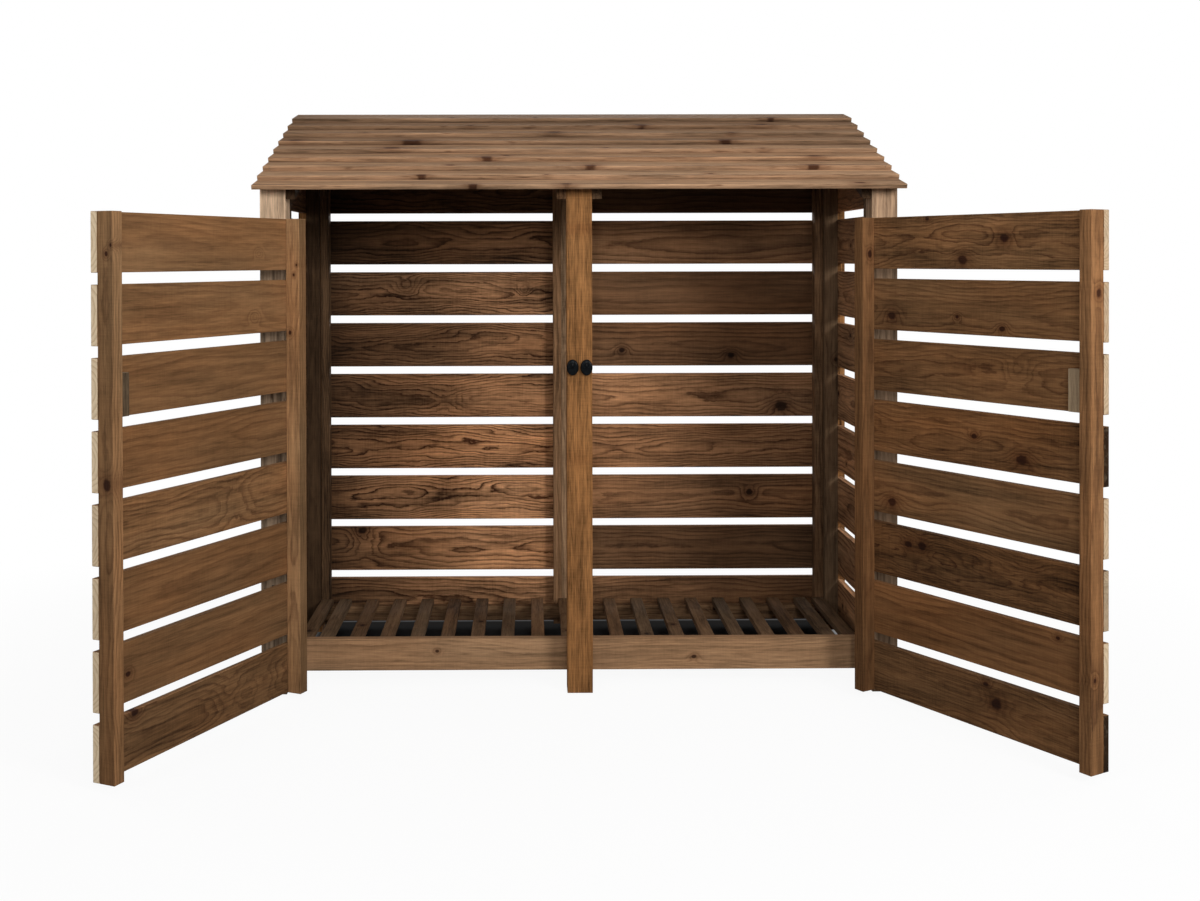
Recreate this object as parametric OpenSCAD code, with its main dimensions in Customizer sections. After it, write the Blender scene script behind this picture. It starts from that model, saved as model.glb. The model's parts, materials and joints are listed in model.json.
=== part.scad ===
// Slatted log store with a lapped-board pent roof, two bays and two hung doors.
// Origin: middle of the foot of the centre front post. +X to the store's right, +Y to its back, +Z up.

/* [Frame] */
// Width over the corner posts
body_width = 1846; // [1500:1:2300]
// Depth over the front and rear posts
body_depth = 754; // [600:1:960]
// Side of each square post
post_size = 75; // [62:1:92]
// Height of the roof's underside at the front face of the posts
eaves_height = 1468; // [1420:1:1800]
// Slope of the roof in degrees
roof_pitch = 20.4; // [14:0.1:24]

/* [Slats and battens] */
// Height of one wall slat
slat_height = 148; // [120:1:180]
// Thickness of every slat
slat_thickness = 20; // [16:1:25]
// Gap between wall slats
slat_gap = 25.7; // [15:0.1:40]
// Height of the lowest wall slat above the ground
wall_clearance = 25; // [15:1:50]
// Distance of the wall slats in from the posts' outer faces
slat_inset = 10; // [5:1:20]
// Thickness of the battens that carry the slats, and of the rafters
batten_thickness = 28; // [22:1:36]
// Depth of a rafter square to the roof
rafter_depth = 34; // [30:1:60]

/* [Roof] */
// Distance the roof boards reach past the corner posts on each side
roof_side_overhang = 12; // [5:1:60]
// Distance the roof reaches in front of the posts
roof_overhang = 55; // [40:1:90]
// Number of roof boards
roof_board_count = 9; // [7:1:11]
// Width of one roof board
roof_board_width = 125; // [115:1:150]
// Thickness of a roof board at its lower edge
roof_board_butt = 14; // [10:1:18]
// Thickness of a roof board at its upper edge
roof_board_thin = 6; // [4:1:9]

/* [Floor] */
// Height of the underside of the front rail
rail_clearance = 46; // [30:1:70]
// Height of the front rail
rail_height = 94; // [80:1:120]
// Height of the top of the floor battens
floor_height = 112; // [95:1:125]
// Width of a floor batten
floor_batten_width = 40; // [30:1:48]
// Thickness of a floor batten
floor_batten_thickness = 19; // [15:1:25]
// Number of evenly spaced floor battens in each bay
floor_batten_count = 9; // [6:1:9]

/* [Doors] */
// Height of the door leaves
door_height = 1354; // [1140:1:1400]
// Height of the door leaves above the ground
door_clearance = 21; // [8:1:30]
// Number of slats in a door
door_slat_count = 8; // [6:1:8]
// Gap between door slats
door_slat_gap = 27.7; // [15:0.1:40]
// Gap between a leaf and the posts beside it
door_gap = 5; // [5:0.5:8]
// Width of a door stile along the leaf
stile_width = 35; // [28:1:45]
// Depth of a door stile
stile_depth = 45; // [35:1:45]
// Width of the backing block beside a free stile
block_width = 52; // [30:1:90]
// Angle of the left door in degrees, 0 is shut
left_open = 115; // [0:1:150]
// Angle of the right door in degrees, 0 is shut
right_open = 120.4; // [0:1:150]

/* [Hinges] */
// Height of a hinge
hinge_height = 84; // [60:1:110]
// Height of the leaf's knuckle
knuckle_length = 27; // [18:1:36]
// Length of a hinge plate along the leaf
strap_length = 110; // [70:1:200]

/* [Turn buttons] */
// Height of the turn button pivots
button_height = 951; // [800:1:1100]
// Distance of each pivot from the middle of the post
button_offset = 20.2; // [20:0.1:21]
// Width of a turn button
button_width = 34.5; // [32:0.5:35]
// Length of a turn button
button_length = 46; // [44:0.5:52]
// Thickness of a turn button
button_thickness = 9; // [6:0.5:12]

/* [Hidden] */
$fn = 32;

front = -post_size/2;
back = front + body_depth;
post_inner = body_width/2 - post_size;
half_post = post_size/2;
slope = tan(roof_pitch);
rafter_drop = rafter_depth/cos(roof_pitch);
roof_width = body_width + 2*roof_side_overhang;
slat_outer = body_width/2 - slat_inset;
slat_inner = slat_outer - slat_thickness;
back_inner = back - slat_inset - slat_thickness;
rear_post_face = back - post_size;
wall_pitch = slat_height + slat_gap;
wall_courses = ceil((under(back) - wall_clearance)/wall_pitch);
wall_top = under(back_inner) - rafter_drop;
roof_start = front - roof_overhang;
roof_length = (body_depth + roof_overhang)/cos(roof_pitch);
roof_step = (roof_length - roof_board_width)/(roof_board_count - 1);
roof_lift = roof_board_butt*roof_board_width/roof_step - (roof_board_butt - roof_board_thin);
rail_back = front + post_size + batten_thickness;
bearer_top = floor_height - floor_batten_thickness;
leaf_outer = post_inner - door_gap;
leaf_inner = half_post + door_gap;
door_foot_share = 0.945; // height of a door's lowest slat as a share of the others
door_slat_height = (door_height - (door_slat_count - 1)*door_slat_gap)/(door_slat_count - 1 + door_foot_share);
axis_x = post_inner - door_gap/2;
hinge_line_offset = 4; // of the pin in front of the posts
axis_y = front - hinge_line_offset;
block_rise = 2;
block_share = 0.72; // height of a backing block as a share of a door slat
floor_end_gap = 22; // between the edge batten and the next
floor_centre_offset = 9; // between the centre post and the first batten
smallest_slat = 25;
knuckle_radius = 3.7;
knuckle_tail = 7;
knuckle_play = 0.5;
pin_radius = 1.8;
bore_play = 0.05;
plate_thickness = 2.5;
plate_setback = 6;
post_plate_end = 46;
tail_gap = 0.3;
collar_radius = 8;
collar_height = 5.2;
shank_radius = 3;
button_play = 0.3;
head_radius = 6;
head_flat_radius = 4.5;
head_play = 0.2;
head_edge = 2.3;
head_height = 2.9;
hinge_levels = [door_clearance + door_height/door_slat_count*1.5,
                door_clearance + door_height*(1 - 1.5/door_slat_count)];
pine = "#7a5a3c";
dark_pine = "#5f4530";
roof_pine = "#8d6c52";
post_pine = "#8a6240";
black = "#1b1a19";

// Height of the roof's underside at a distance y
function under(y) = eaves_height + slope*(y - front);

// Height of the upper edge of a door slat, counted from the lowest
function door_slat_top(i) =
    door_clearance + door_foot_share*door_slat_height + i*(door_slat_height + door_slat_gap);

// Outline in Y and Z of a slat cut back to the roof's underside
function cut_slat(y0, y1, z0, z1) =
    let (e0 = front + (z0 - eaves_height)/slope, e1 = front + (z1 - eaves_height)/slope)
    concat([[max(y0, e0), z0], [y1, z0], [y1, min(z1, under(y1))]],
           e1 < y1 ? [[max(y0, e1), z1]] : [],
           e0 < y0 && e1 > y0 ? [[y0, under(y0)]] : []);

// A box between two corners
module box(low, high) { translate(low) cube(high - low); }

// An outline in Y and Z, drawn out along X
module along_x(x0, x1, outline) {
    translate([x0, 0, 0]) rotate([90, 0, 90]) linear_extrude(x1 - x0) polygon(outline);
}

// The shape on the other side of the store
module on_side(side) { if (side < 0) children(); else mirror([1, 0, 0]) children(); }

// The left leaf's shapes turned open about the hinge line
module swung(side) {
    angle = side < 0 ? left_open : right_open;
    on_side(side) translate([-axis_x, axis_y, 0]) rotate([0, 0, -angle])
        translate([axis_x, -axis_y, 0]) children();
}

module post(x, y0, colour) {
    color(colour) along_x(x - half_post, x + half_post,
        [[y0, 0], [y0 + post_size, 0], [y0 + post_size, under(y0 + post_size)], [y0, under(y0)]]);
}

module back_slats(side) {
    color(pine) on_side(side)
    for (i = [0:wall_courses - 1]) {
        low = wall_clearance + i*wall_pitch;
        top = min(low + slat_height, wall_top);
        if (top - low > smallest_slat)
            box([-post_inner, back_inner, low], [-half_post, back_inner + slat_thickness, top]);
    }
}

module side_slats(side) {
    color(pine) on_side(side)
    for (i = [0:wall_courses - 1]) {
        low = wall_clearance + i*wall_pitch;
        if (under(rear_post_face) - low > smallest_slat)
            along_x(-slat_outer, -slat_inner,
                cut_slat(front + post_size, rear_post_face, low, low + slat_height));
    }
}

module back_battens() {
    top = under(rear_post_face) - rafter_drop;
    color(dark_pine)
    for (x = [-post_inner, -half_post - batten_thickness, half_post, post_inner - batten_thickness])
        box([x, rear_post_face, wall_clearance], [x + batten_thickness, back_inner, top]);
}

module side_battens(side) {
    color(dark_pine) on_side(side)
    for (y = [front + post_size, rear_post_face - batten_thickness])
        box([-slat_inner, y, wall_clearance], [-post_inner, y + batten_thickness, under(y)]);
}

module front_rail() {
    color(pine) box([-post_inner, front + post_size, rail_clearance],
                    [post_inner, rail_back, rail_clearance + rail_height]);
}

module floor_bearers() {
    color(dark_pine)
    for (y = [rail_back, rear_post_face - batten_thickness])
        box([-post_inner, y, rail_clearance], [post_inner, y + batten_thickness, bearer_top]);
}

module floor_battens(side) {
    outer = post_inner - floor_batten_width - floor_end_gap;
    pitch = (outer - floor_batten_width - floor_centre_offset)/(floor_batten_count - 1);
    color(pine) on_side(side) {
        for (i = [0:floor_batten_count - 1])
            box([-outer + i*pitch, rail_back, bearer_top],
                [-outer + i*pitch + floor_batten_width, rear_post_face, floor_height]);
        box([-post_inner, rail_back, bearer_top],
            [-post_inner + floor_batten_width, rear_post_face, floor_height]);
    }
}

module rafter(x) {
    color(dark_pine) along_x(x, x + batten_thickness,
        [[front, under(front) - rafter_drop], [back, under(back) - rafter_drop],
         [back, under(back)], [front, under(front)]]);
}

module roof_board(i) {
    low = i*roof_step;
    color(roof_pine) translate([-roof_width/2, roof_start, under(roof_start)])
        rotate([roof_pitch, 0, 0]) rotate([90, 0, 90]) linear_extrude(roof_width)
        polygon([[low, roof_lift], [low + roof_board_width, 0],
                 [low + roof_board_width, roof_board_thin], [low, roof_lift + roof_board_butt]]);
}

module door_slats(side) {
    color(pine) swung(side)
    for (i = [0:door_slat_count - 1]) {
        top = door_slat_top(i);
        low = i == 0 ? door_clearance : top - door_slat_height;
        box([-leaf_outer, front, low], [-leaf_inner, front + slat_thickness, top]);
    }
}

module door_stile(side, x) {
    color(dark_pine) swung(side)
        box([x, front + slat_thickness, door_clearance],
            [x + stile_width, front + slat_thickness + stile_depth, door_clearance + door_height]);
}

module door_block(side) {
    low = door_slat_top(door_slat_count - 3) - door_slat_height + block_rise;
    color(roof_pine) swung(side)
        box([-leaf_inner - stile_width - block_width, front + slat_thickness, low],
            [-leaf_inner - stile_width, front + 2*slat_thickness, low + block_share*door_slat_height]);
}

// Hinge plates on the leaf's outer face, each with the middle knuckle
module door_straps(side) {
    color(black) swung(side)
    for (z = hinge_levels) difference() {
        union() {
            box([-axis_x + plate_setback, front - plate_thickness, z - hinge_height/2],
                [-axis_x + strap_length, front, z + hinge_height/2]);
            box([-axis_x, front - plate_thickness, z - knuckle_length/2],
                [-axis_x + knuckle_tail, front - tail_gap, z + knuckle_length/2]);
            translate([-axis_x, axis_y, z - knuckle_length/2]) cylinder(h = knuckle_length, r = knuckle_radius);
        }
        translate([-axis_x, axis_y, z - knuckle_length]) cylinder(h = 2*knuckle_length, r = pin_radius + bore_play);
    }
}

// Hinge plates on the corner post, each with the outer knuckles and the pin
module post_hinges(side) {
    outer = (hinge_height - knuckle_length)/2 - knuckle_play;
    color(black) on_side(side)
    for (z = hinge_levels) {
        box([-axis_x - post_plate_end, front - plate_thickness, z - hinge_height/2],
            [-axis_x - plate_setback, front, z + hinge_height/2]);
        for (low = [z - hinge_height/2, z + hinge_height/2 - outer]) {
            box([-axis_x - knuckle_tail, front - plate_thickness, low], [-axis_x, front - tail_gap, low + outer]);
            translate([-axis_x, axis_y, low]) cylinder(h = outer, r = knuckle_radius);
        }
        translate([-axis_x, axis_y, z - hinge_height/2]) cylinder(h = hinge_height, r = pin_radius);
    }
}

module turn_button(side) {
    reach = button_length - button_width;
    color(black) translate([side*button_offset, front - collar_height - button_play, button_height]) rotate([90, 0, 0])
    difference() {
        union() {
            cylinder(h = button_thickness, r = button_width/2);
            translate([0, -reach, 0]) cylinder(h = button_thickness, r = button_width/2);
            translate([-button_width/2, -reach, 0]) cube([button_width, reach, button_thickness]);
        }
        translate([0, 0, -1]) cylinder(h = button_thickness + 2, r = shank_radius + bore_play);
    }
}

// A collar on the post, a shank through the button and a domed head
module button_screws() {
    head = collar_height + button_play + button_thickness + head_play;
    color(black)
    for (side = [-1, 1])
        translate([side*button_offset, front, button_height]) rotate([90, 0, 0])
        rotate_extrude()
            polygon([[0, 0], [collar_radius, 0], [collar_radius, collar_height], [shank_radius, collar_height],
                     [shank_radius, head], [head_radius, head], [head_flat_radius, head + head_edge],
                     [0, head + head_height]]);
}

post(half_post - body_width/2, front, pine);  // front_left_post
post(0, front, post_pine);  // front_centre_post
post(body_width/2 - half_post, front, pine);  // front_right_post
post(half_post - body_width/2, rear_post_face, dark_pine);  // rear_left_post
post(0, rear_post_face, dark_pine);  // rear_centre_post
post(body_width/2 - half_post, rear_post_face, dark_pine);  // rear_right_post
back_slats(-1);  // left_back_slats
back_slats(1);  // right_back_slats
side_slats(-1);  // left_side_slats
side_slats(1);  // right_side_slats
back_battens();
side_battens(-1);  // left_side_battens
side_battens(1);  // right_side_battens
front_rail();
floor_bearers();
floor_battens(-1);  // left_floor_battens
floor_battens(1);  // right_floor_battens
rafter(-post_inner);  // left_rafter
rafter(-half_post - batten_thickness);  // left_middle_rafter
rafter(half_post);  // right_middle_rafter
rafter(post_inner - batten_thickness);  // right_rafter
roof_board(0);  // roof_board_1
roof_board(1);  // roof_board_2
roof_board(2);  // roof_board_3
roof_board(3);  // roof_board_4
roof_board(4);  // roof_board_5
roof_board(5);  // roof_board_6
roof_board(6);  // roof_board_7
roof_board(7);  // roof_board_8
roof_board(8);  // roof_board_9
door_slats(-1);  // left_door_slats
door_stile(-1, -leaf_outer);  // left_door_hinge_stile
door_stile(-1, -leaf_inner - stile_width);  // left_door_free_stile
door_block(-1);  // left_door_block
door_straps(-1);  // left_door_straps
post_hinges(-1);  // left_post_hinges
door_slats(1);  // right_door_slats
door_stile(1, -leaf_outer);  // right_door_hinge_stile
door_stile(1, -leaf_inner - stile_width);  // right_door_free_stile
door_block(1);  // right_door_block
door_straps(1);  // right_door_straps
post_hinges(1);  // right_post_hinges
turn_button(-1);  // left_turn_button
turn_button(1);  // right_turn_button
button_screws();
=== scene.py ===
import json
import math
import random
from functools import partial

import bmesh
import bpy
from mathutils import Matrix, Vector, noise

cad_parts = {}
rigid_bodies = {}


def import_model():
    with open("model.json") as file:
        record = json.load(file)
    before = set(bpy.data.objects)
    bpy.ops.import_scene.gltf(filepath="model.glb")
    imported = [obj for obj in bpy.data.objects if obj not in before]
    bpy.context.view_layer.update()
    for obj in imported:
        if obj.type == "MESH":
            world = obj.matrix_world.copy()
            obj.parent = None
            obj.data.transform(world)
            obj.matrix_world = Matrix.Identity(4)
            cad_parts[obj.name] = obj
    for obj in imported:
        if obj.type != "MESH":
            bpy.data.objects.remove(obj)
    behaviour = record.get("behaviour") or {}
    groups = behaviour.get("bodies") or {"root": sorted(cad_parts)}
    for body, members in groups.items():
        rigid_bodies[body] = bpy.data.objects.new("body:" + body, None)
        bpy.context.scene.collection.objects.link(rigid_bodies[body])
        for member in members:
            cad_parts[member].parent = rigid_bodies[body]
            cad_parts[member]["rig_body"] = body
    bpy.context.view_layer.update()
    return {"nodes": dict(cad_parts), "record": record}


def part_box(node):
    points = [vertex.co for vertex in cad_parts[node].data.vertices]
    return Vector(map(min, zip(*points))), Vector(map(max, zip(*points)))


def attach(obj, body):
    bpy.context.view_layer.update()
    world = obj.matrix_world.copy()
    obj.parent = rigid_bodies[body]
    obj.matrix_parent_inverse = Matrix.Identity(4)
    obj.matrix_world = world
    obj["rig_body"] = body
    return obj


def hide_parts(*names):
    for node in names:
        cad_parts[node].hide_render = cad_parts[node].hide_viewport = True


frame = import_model()
nodes = frame["nodes"]
scene = bpy.context.scene


def linearColour(hexText):
    # sRGB hex to the linear values that the shader sockets take
    parts = [int(hexText[i:i + 2], 16) / 255 for i in (1, 3, 5)]
    return tuple(c / 12.92 if c <= 0.04045 else ((c + 0.055) / 1.055) ** 2.4 for c in parts) + (1.0,)


def timesPerMetre(millimetres):
    # how often a pattern of this size fits into a metre, to two figures
    return float(f"{1000 / millimetres:.2g}")


def addNode(tree, kind, inputs=(), take=0, **settings):
    # one node: its own settings, then its inputs in order or by name, each a value or another node's output.
    # A Mix node's two colours are its inputs 6 and 7, and the mixed colour is its output 2.
    node = tree.nodes.new("ShaderNode" + kind)
    for name, value in settings.items():
        setattr(node, name, value)
    for socket, value in (inputs.items() if isinstance(inputs, dict) else enumerate(inputs)):
        if isinstance(value, bpy.types.NodeSocket):
            tree.links.new(value, node.inputs[socket])
        else:
            node.inputs[socket].default_value = value
    return node.outputs[take] if node.outputs else node


def newMaterial(name):
    material = bpy.data.materials.new(name)
    material.use_nodes = True
    tree = material.node_tree
    tree.nodes.clear()
    shader = addNode(tree, "BsdfPrincipled").node
    addNode(tree, "OutputMaterial", [shader.outputs[0]])
    return material, tree, shader


def addPiece(name, bm, materials, body, replaced=None, smooth=False):
    mesh = bpy.data.meshes.new(name)
    bm.to_mesh(mesh)
    bm.free()
    for material in materials:
        mesh.materials.append(material)
    for polygon in mesh.polygons:
        polygon.use_smooth = smooth
    piece = bpy.data.objects.new(name, mesh)
    scene.collection.objects.link(piece)
    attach(piece, body)
    if replaced:
        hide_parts(replaced)


camera = {
    "place": (-0.1444, -4.0903, 1.2607),
    "yaw": 0.487,      # degrees, towards the store's right
    "pitch": 0.422,    # degrees, downwards
    "roll": -0.131,
    "lens": 42.04,
    "sensor": 36,      # millimetres, like the lens
    "shift": (0.0489, -0.1515),
    "reach": 60,
}


def addCamera(settings):
    data = bpy.data.cameras.new("camera")
    data.lens = settings["lens"]
    data.sensor_width = settings["sensor"]
    data.sensor_fit = "HORIZONTAL"
    data.shift_x, data.shift_y = settings["shift"]
    data.clip_end = settings["reach"]
    view = bpy.data.objects.new("camera", data)
    scene.collection.objects.link(view)
    turn = (Matrix.Rotation(math.radians(-settings["yaw"]), 4, "Z")
            @ Matrix.Rotation(math.radians(90 - settings["pitch"]), 4, "X")
            @ Matrix.Rotation(math.radians(settings["roll"]), 4, "Z"))
    view.matrix_world = Matrix.Translation(settings["place"]) @ turn
    scene.camera = view


addCamera(camera)
print("camera placed")


# Pressure-treated, brown-stained sawn pine. Early wood soaks up the stain evenly, late wood stays as darker
# lines with soft edges, the fibres show as fine streaks, the saw leaves faint marks across the grain, and
# the stain pools in long patches. Sawn faces are matt. Colours: early and late wood, the grain round a knot,
# the knot. Strengths: the ring lines, streaks, fibres, saw marks, stain patches, drift of the hue, dirty
# flecks, how far a knot pushes the rings aside, and the weakest and strongest ring.
woodFinishes = {
    "doorPine": {
        "early": "#87603e", "late": "#472a1a", "surround": "#4a2514", "knot": "#29130c",
        "lines": 0.72, "streak": 1.5, "fibre": 1.6, "saw": 0.35, "patch": 1.5, "hue": 0.30, "fleck": 0.15,
        "push": 3.0, "vigour": (0.45, 1.15)},
    "wallPine": {
        "early": "#9a6f4d", "late": "#372013", "surround": "#3a1f12", "knot": "#1d100a",
        "lines": 1.1, "streak": 1.8, "fibre": 2.2, "saw": 0.5, "patch": 2.4, "hue": 0.22, "fleck": 0.12,
        "push": 3.0, "vigour": (0.70, 1.10)},
    "roofPine": {
        "early": "#b08b6b", "late": "#65442f", "surround": "#6a4128", "knot": "#422416",
        "lines": 0.8, "streak": 6.5, "fibre": 3.0, "saw": 0.2, "patch": 1.8, "hue": 0.12, "fleck": 0.75,
        "push": 1.0, "vigour": (0.45, 1.15)},
    "postPine": {
        "early": "#96693f", "late": "#5f391e", "surround": "#6b3517", "knot": "#4a2311",
        "lines": 0.42, "streak": 2.2, "fibre": 3.6, "saw": 0.7, "patch": 2.0, "hue": 0.16, "fleck": 0.1,
        "push": 1.5, "vigour": (0.45, 1.15)},
    "battenPine": {
        "early": "#866548", "late": "#452e1e", "surround": "#4a2b19", "knot": "#2a180f",
        "lines": 0.75, "streak": 2.0, "fibre": 2.2, "saw": 0.4, "patch": 1.8, "hue": 0.16, "fleck": 0.2,
        "push": 2.0, "vigour": (0.45, 1.15)},
}
# size of each pattern in millimetres, along and across the grain, and through the board where that differs
grainSizes = {
    "wander": (415, 111),
    "ripple": (66, 21.7),
    "pith": (770, 330),
    "jitter": (16.7, 5.9),
    "knotEdge": (16.7, 16.7),
    "fading": (330, 62),      # where the ring lines come and go
    "fleck": (71, 7.7),
    "fibre": (62, 3.8),       # real fibres are finer: drawn coarse enough to show
    "streak": (500, 14.3),
    "patch": (310, 77),
    "saw": (4.2, 71),
    "hue": (500, 143),
    "sawnEnd": (16.7, 16.7, 25),
}
rings = {
    "spacing": 0.0085,        # growth rings of fast-grown pine, on a flat-sawn face
    "pithDepth": 0.055,
    "wander": 0.075,          # how far the rings bend along a board
    "ripple": 0.011,
    "pithSwing": 0.09,
    "jitter": 0.0024,
    "yearStep": 97.0,         # keeps the boards' rings from repeating each other's
    "fade": 1.8,              # how much the lines come and go
    "fadeMiddle": 0.92,
    "plain": 0.3,             # share of its pattern that a board without figure keeps
    "seam": 0.30,             # level where one year's ring meets the next
    "profile": ((0.10, 0.0), (0.48, 0.10), (0.74, 0.62), (0.90, 1.0)),  # share of a year, darkness
}
knotShape = {
    "reach": 2.5,             # of the pushed rings, in knot radii
    "squash": (0.75, 1.0, 0.0),
    "ragged": 0.9,
    "edge": (1.35, 0.75),     # in knot radii, where the dark core starts and is full
    "surround": 0.62,
    "heart": 0.85,
}
sawnFace = {
    "fleckRange": (0.12, 0.24),
    "darkest": 0.22,          # some of the wood's own colour is always left
    "paintedShadeHeight": 0.8,        # painted shade: the wood is drawn darker towards the bottom, up to this height
    "paintedShadeTone": 0.80,
    "endColour": "#e3cdad",   # a fresh cut keeps the bare pine's colour
    "endRings": "#b09069",
    "endUneven": 0.35,
    "lateProud": 0.4,         # how far late wood and saw marks stand out, where fibres are 1
    "sawProud": 0.6,
    "relief": 0.0012,
    "reliefStrength": 0.5,
    "roughness": (0.72, 0.9),
    "gloss": 0.07,
}
seedStep = (31.7, 12.9, 7.3)  # metres between the places in the noise that two boards are cut from, at most
knotNames = ("knotA", "knotB", "knotC")


def woodMaterial(name, finish):
    material, tree, shader = newMaterial(name)
    add = partial(addNode, tree)
    early, late = linearColour(finish["early"]), linearColour(finish["late"])
    aroundKnot, inKnot = linearColour(finish["surround"]), linearColour(finish["knot"])
    grain = add("Attribute", attribute_name="grain", take="Vector")
    board = add("Attribute", attribute_name="board", take="Vector")
    stain = add("Attribute", attribute_name="stain", take="Vector")
    end = add("Attribute", attribute_name="endGrain", take="Fac")
    shade = add("Attribute", attribute_name="shade", take="Fac")
    along, across, through = add("SeparateXYZ", [grain]).node.outputs
    seed, tone, figure = add("SeparateXYZ", [board]).node.outputs
    warmth, bareEnd, ringScale = add("SeparateXYZ", [stain]).node.outputs
    # each board is cut from another place of the same noise
    step = add("CombineXYZ", [seed, seed, seed])
    step = add("VectorMath", [step, seedStep], operation="MULTIPLY")
    spot = add("VectorMath", [grain, step], operation="ADD")

    def variation(pattern, amount, detail=2.0, roughness=0.5):
        # noise round zero, its features as long and as wide as the pattern's
        sizes = grainSizes[pattern]
        scale = [timesPerMetre(size) for size in (sizes[0], sizes[1], sizes[-1])]
        stretched = add("VectorMath", [spot, scale], operation="MULTIPLY")
        value = add("TexNoise", {"Vector": stretched, "Scale": 1.0, "Detail": detail, "Roughness": roughness})
        return add("MapRange", {"Value": value, "To Min": -amount / 2, "To Max": amount / 2}, clamp=False)

    # growth rings: distance from a wandering pith line below the board's face
    bend = add("Math", [variation("wander", rings["wander"]), variation("ripple", rings["ripple"], 3.0)],
               operation="ADD")
    sideways = add("Math", [across, variation("pith", rings["pithSwing"], 1.0)], operation="ADD")
    below = add("Math", [through, rings["pithDepth"]], operation="ADD")
    radius = add("VectorMath", [add("CombineXYZ", [below, sideways])], take="Value", operation="LENGTH")
    radius = add("Math", [bend, figure, radius], operation="MULTIPLY_ADD")
    radius = add("Math", [radius, variation("jitter", rings["jitter"])], operation="ADD")
    spacing = add("Math", [ringScale, rings["spacing"]], operation="MULTIPLY")
    count = add("Math", [radius, spacing], operation="DIVIDE")

    # a knot pushes the rings round itself; a negative radius is a curl in the grain with no dark core
    ragged = variation("knotEdge", knotShape["ragged"])
    knotMask = 0.0
    halo = 0.0
    for knotName in knotNames:
        knot = add("Attribute", attribute_name=knotName, take="Vector")
        offset = add("VectorMath", [grain, knot], operation="SUBTRACT")
        flat = add("VectorMath", [offset, knotShape["squash"]], operation="MULTIPLY")
        distance = add("VectorMath", [flat], take="Value", operation="LENGTH")
        size = add("SeparateXYZ", [knot], take=2)
        whole = add("Math", [size], operation="ABSOLUTE")
        ratio = add("Math", [add("Math", [distance, whole], operation="DIVIDE"), ragged], operation="ADD")
        reach = add("Math", [ratio, knotShape["reach"]], operation="DIVIDE")
        # a bell curve round the knot
        squared = add("Math", [reach, 2.0], operation="POWER")
        push = add("Math", [math.e, add("Math", [squared, -1.0], operation="MULTIPLY")], operation="POWER")
        count = add("Math", [push, finish["push"], count], operation="MULTIPLY_ADD")
        core = add("MapRange", {"Value": ratio, "From Min": knotShape["edge"][0],
                                "From Max": knotShape["edge"][1]}, interpolation_type="SMOOTHSTEP")
        real = add("Math", [size, 0.0], operation="GREATER_THAN")
        dark = add("Math", [core, real], operation="MULTIPLY")
        knotMask = add("Math", [knotMask, dark], operation="MAXIMUM")
        halo = add("Math", [halo, add("Math", [push, real], operation="MULTIPLY")], operation="MAXIMUM")

    # each ring takes the stain a little differently
    year = add("Math", [count], operation="FLOOR")
    ownYear = add("Math", [seed, rings["yearStep"], year], operation="MULTIPLY_ADD")
    vigour = add("TexWhiteNoise", {"W": ownYear}, noise_dimensions="1D")
    weakest, strongest = finish["vigour"]
    vigour = add("MapRange", {"Value": vigour, "To Min": weakest, "To Max": strongest})
    profile = add("ValToRGB", [add("Math", [count], operation="FRACT")])
    levels = profile.node.color_ramp
    for element in levels.elements:
        element.color = (rings["seam"], rings["seam"], rings["seam"], 1)
    for place, level in rings["profile"]:
        levels.elements.new(place).color = (level, level, level, 1)
    lateWood = add("Math", [profile, vigour], operation="MULTIPLY", use_clamp=True)
    fading = add("Math", [variation("fading", rings["fade"]), rings["fadeMiddle"]], operation="ADD",
                 use_clamp=True)
    strength = add("Math", [figure, 1 - rings["plain"], rings["plain"]], operation="MULTIPLY_ADD")
    drawn = add("Math", [strength, finish["lines"]], operation="MULTIPLY")
    lines = add("Math", [add("Math", [lateWood, fading], operation="MULTIPLY"), drawn], operation="MULTIPLY",
                use_clamp=True)

    colour = add("Mix", {0: lines, 6: early, 7: late}, take=2, data_type="RGBA")
    surround = add("Math", [halo, knotShape["surround"]], operation="MULTIPLY")
    colour = add("Mix", {0: surround, 6: colour, 7: aroundKnot}, take=2, data_type="RGBA")
    heart = add("Math", [knotMask, knotShape["heart"]], operation="MULTIPLY")
    colour = add("Mix", {0: heart, 6: colour, 7: inKnot}, take=2, data_type="RGBA")

    # resin flecks and small splits, which fill with dirt
    fleck = add("MapRange", {"Value": variation("fleck", 1.0), "From Min": sawnFace["fleckRange"][0],
                             "From Max": sawnFace["fleckRange"][1]})
    fleck = add("Math", [fleck, finish["fleck"]], operation="MULTIPLY")
    colour = add("Mix", {0: fleck, 6: colour, 7: late}, take=2, data_type="RGBA")

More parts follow.
